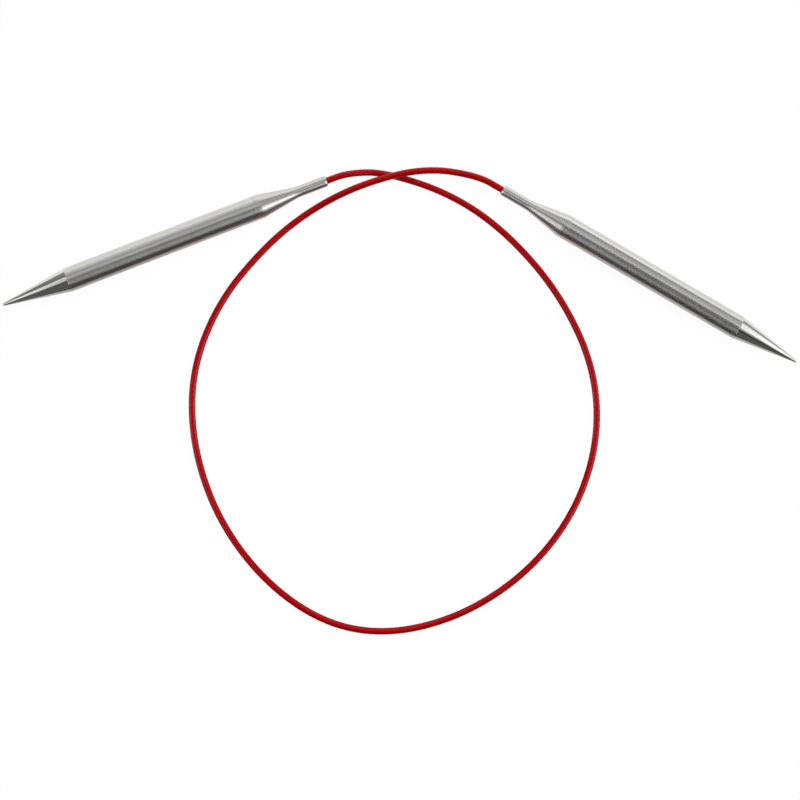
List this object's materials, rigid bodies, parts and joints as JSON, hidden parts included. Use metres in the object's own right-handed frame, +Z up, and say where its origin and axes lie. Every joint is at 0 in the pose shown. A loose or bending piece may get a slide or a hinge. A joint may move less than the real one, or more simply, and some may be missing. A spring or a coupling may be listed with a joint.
{
  "type": "circular knitting needle",
  "caption": "Circular knitting needle: thick steel needles with long conical points and tapered necks, joined by a thin red coated cable that loops round and crosses itself.",
  "frame": {"origin": "on the surface the needle lies on, below the middle of the two steel needles' box in plan", "axes": "+Z up from the surface, +X from the left needle's point towards the right needle's point, +Y from the cable's loop towards the needles"},
  "size_m": [0.2935, 0.1734, 0.009],
  "materials": {
    "needle_steel": "stainless steel, ground round and polished to a bright satin",
    "cable_red": "translucent crimson nylon coat, glossy",
    "rope_steel": "bright drawn wire",
    "sleeve_metal": "plain crimped sleeve, dull",
    "bond_resin": "hardened clear amber adhesive"
  },
  "bodies": {
    "cable": {"cable_jacket": "cable_red", "outer_strands": "rope_steel", "core_strand": "rope_steel"},
    "left_needle": {"left_point": "needle_steel", "left_shaft": "needle_steel", "left_neck": "needle_steel", "left_crimp_sleeve": "sleeve_metal", "left_bond": "bond_resin"},
    "right_needle": {"right_point": "needle_steel", "right_shaft": "needle_steel", "right_neck": "needle_steel", "right_crimp_sleeve": "sleeve_metal", "right_bond": "bond_resin"}
  },
  "joints": [
    {"name": "left_needle_swing", "type": "hinge", "parent": "cable", "child": "left_needle", "pos_m": [-0.01711, 0.03694, 0.0045], "axis": [0, 0, -1], "range_deg": [-8, 60], "stiffness_Nm_per_rad": 0.02, "deforming": ["cable_jacket", "outer_strands", "core_strand"]},
    {"name": "right_needle_swing", "type": "hinge", "parent": "cable", "child": "right_needle", "pos_m": [0.02371, 0.0371, 0.0045], "axis": [0, 0, 1], "range_deg": [-12, 60], "stiffness_Nm_per_rad": 0.02, "deforming": ["cable_jacket", "outer_strands", "core_strand"]}
  ]
}
